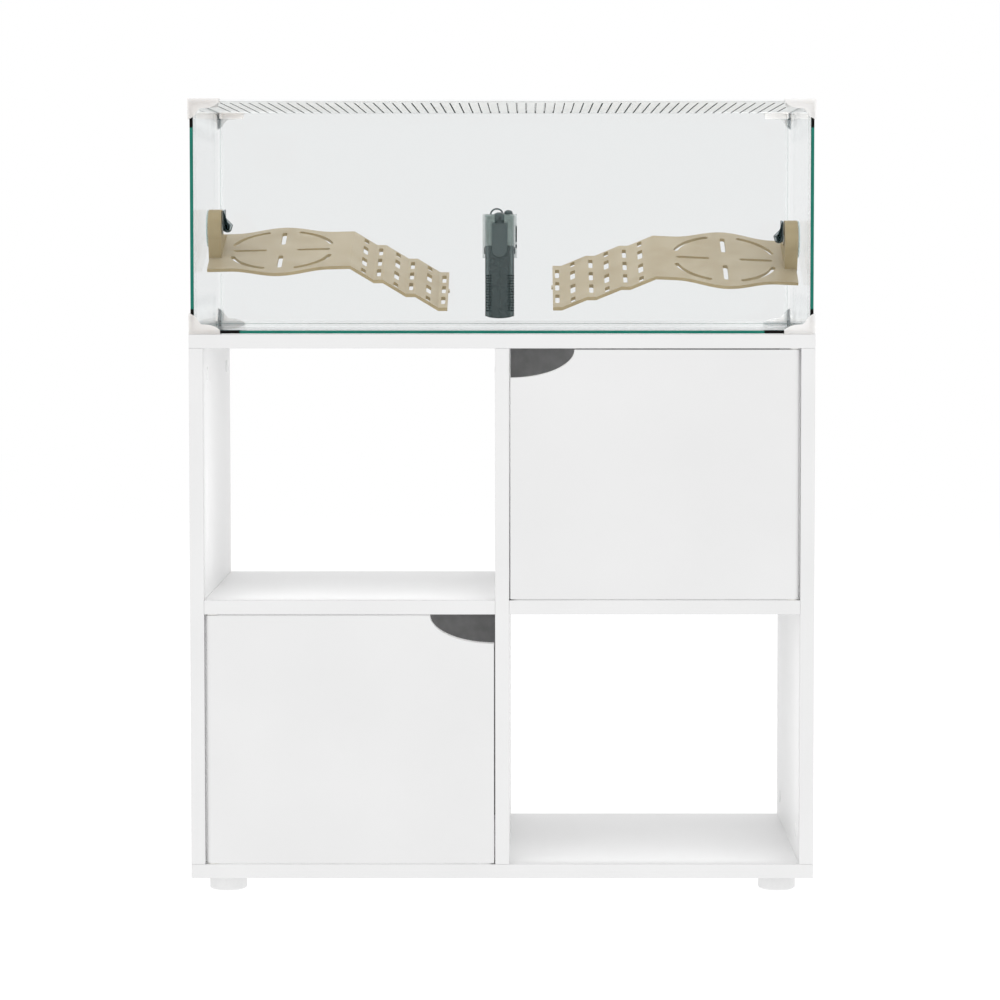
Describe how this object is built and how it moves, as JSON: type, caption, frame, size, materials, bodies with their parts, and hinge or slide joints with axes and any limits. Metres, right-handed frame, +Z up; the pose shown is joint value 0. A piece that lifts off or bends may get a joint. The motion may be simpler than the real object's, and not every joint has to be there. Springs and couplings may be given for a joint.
{
  "type": "reptile terrarium",
  "caption": "Glass turtle terrarium with vented lid, stepped islands on suction cups and an internal filter, on a cube cabinet with two doors.",
  "frame": {"origin": "middle of the footprint on the floor, under the four feet", "axes": "+Z up, the front with the doors faces -Y, +X to the viewer's right"},
  "size_m": [0.8, 0.4, 1.02],
  "materials": {
    "white_board": "melamine-faced particle board, fine satin grain",
    "door_white": "melamine-faced door, fine satin grain",
    "grey_hardboard": "dark grey hardboard",
    "white_foot": "moulded white plastic",
    "white_nylon": "moulded nylon",
    "zinc": "zinc-plated steel",
    "beech": "fluted beech",
    "pin_steel": "zinc-plated steel",
    "clear_glass": "clear float glass with green edges",
    "silicone": "translucent silicone",
    "black_rubber": "black rubber",
    "cap_plastic": "moulded white plastic",
    "lid_plastic": "punched white plastic sheet",
    "sand_plastic": "moulded sand-coloured plastic",
    "clear_cup": "clear flexible vinyl",
    "stud_steel": "stainless steel",
    "slate_plastic": "moulded slate-grey plastic",
    "clear_plastic": "clear moulded plastic",
    "smoked_plastic": "grey see-through moulded plastic",
    "sponge": "open-cell filter foam",
    "ceramic": "polished ceramic",
    "impeller_plastic": "magnet in moulded plastic"
  },
  "bodies": {
    "cabinet_and_tank": {"top_board": "white_board", "bottom_board": "white_board", "left_side_board": "white_board", "right_side_board": "white_board", "centre_upright": "white_board", "left_shelf": "white_board", "right_shelf": "white_board", "upper_back_panel": "grey_hardboard", "lower_back_panel": "grey_hardboard", "feet": "white_foot", "hinge_bushes": "white_nylon", "magnetic_catches": "white_nylon", "cam_covers": "white_nylon", "foot_screws": "zinc", "cam_locks": "zinc", "cam_bolts": "zinc", "dowels": "beech", "bottom_glass": "clear_glass", "front_glass": "clear_glass", "back_glass": "clear_glass", "left_glass": "clear_glass", "right_glass": "clear_glass", "silicone_beads": "silicone", "cap_lower_front_left": "cap_plastic", "cap_lower_front_right": "cap_plastic", "cap_lower_back_left": "cap_plastic", "cap_lower_back_right": "cap_plastic", "cap_upper_front_left": "cap_plastic", "cap_upper_front_right": "cap_plastic", "cap_upper_back_left": "cap_plastic", "cap_upper_back_right": "cap_plastic", "filter_holder": "clear_plastic", "edge_gaskets": "black_rubber", "left_suction_cup": "clear_cup", "right_suction_cup": "clear_cup", "filter_cups": "clear_cup", "cup_studs": "stud_steel", "cam_washers": "stud_steel", "lever_pins": "stud_steel"},
    "upper_door": {"upper_door": "door_white", "upper_door_pins": "pin_steel", "upper_strike_plate": "pin_steel"},
    "lower_door": {"lower_door": "door_white", "lower_door_pins": "pin_steel", "lower_strike_plate": "pin_steel"},
    "lid": {"vent_lid": "lid_plastic"},
    "left_island": {"left_island": "sand_plastic"},
    "right_island": {"right_island": "sand_plastic"},
    "left_lever": {"left_cam_lever": "slate_plastic"},
    "right_lever": {"right_cam_lever": "slate_plastic"},
    "filter": {"filter_basket": "slate_plastic", "filter_sponge": "sponge"},
    "pump_head": {"filter_head": "smoked_plastic", "motor_housing": "slate_plastic", "impeller_shaft": "ceramic", "lift_handle": "slate_plastic", "cable_gland": "black_rubber"},
    "impeller": {"impeller": "impeller_plastic"},
    "nozzle": {"outlet_nozzle": "slate_plastic"},
    "flow_knob": {"flow_knob": "slate_plastic"}
  },
  "joints": [
    {"name": "upper_door_hinge", "type": "hinge", "parent": "cabinet_and_tank", "child": "upper_door", "pos_m": [0.3725, -0.192, 0.5405], "axis": [0, 0, 1], "range_deg": [0, 95]},
    {"name": "lower_door_hinge", "type": "hinge", "parent": "cabinet_and_tank", "child": "lower_door", "pos_m": [-0.3725, -0.192, 0.1995], "axis": [0, 0, -1], "range_deg": [0, 95]},
    {"name": "lid_lift", "type": "slide", "parent": "cabinet_and_tank", "child": "lid", "axis": [0, 0, 1], "range_m": [0, 0.12]},
    {"name": "left_island_tilt", "type": "hinge", "parent": "cabinet_and_tank", "child": "left_island", "pos_m": [-0.3935, 0, 0.856], "axis": [1, 0, 0], "range_deg": [-45, 10]},
    {"name": "right_island_tilt", "type": "hinge", "parent": "cabinet_and_tank", "child": "right_island", "pos_m": [0.3935, 0, 0.8415], "axis": [1, 0, 0], "range_deg": [-45, 10]},
    {"name": "left_lever_throw", "type": "hinge", "parent": "cabinet_and_tank", "child": "left_lever", "pos_m": [-0.3666, 0, 0.856], "axis": [0, 1, 0], "range_deg": [0, 90]},
    {"name": "right_lever_throw", "type": "hinge", "parent": "cabinet_and_tank", "child": "right_lever", "pos_m": [0.3666, 0, 0.8415], "axis": [0, -1, 0], "range_deg": [0, 90]},
    {"name": "filter_lift", "type": "slide", "parent": "cabinet_and_tank", "child": "filter", "axis": [0, 0, 1], "range_m": [0, 0.06]},
    {"name": "pump_head_lift", "type": "slide", "parent": "filter", "child": "pump_head", "axis": [0, 0, 1], "range_m": [0, 0.03]},
    {"name": "impeller_spin", "type": "hinge", "parent": "pump_head", "child": "impeller", "pos_m": [-0.006, 0.1652, 0.848], "axis": [0, 0, 1], "continuous": true},
    {"name": "nozzle_turn", "type": "hinge", "parent": "pump_head", "child": "nozzle", "pos_m": [-0.006, 0.1497, 0.872], "axis": [0, 0, 1], "range_deg": [-90, 90]},
    {"name": "flow_knob_turn", "type": "hinge", "parent": "pump_head", "child": "flow_knob", "pos_m": [0.006, 0.1662, 0.876], "axis": [0, 0, 1], "range_deg": [0, 180]}
  ]
}
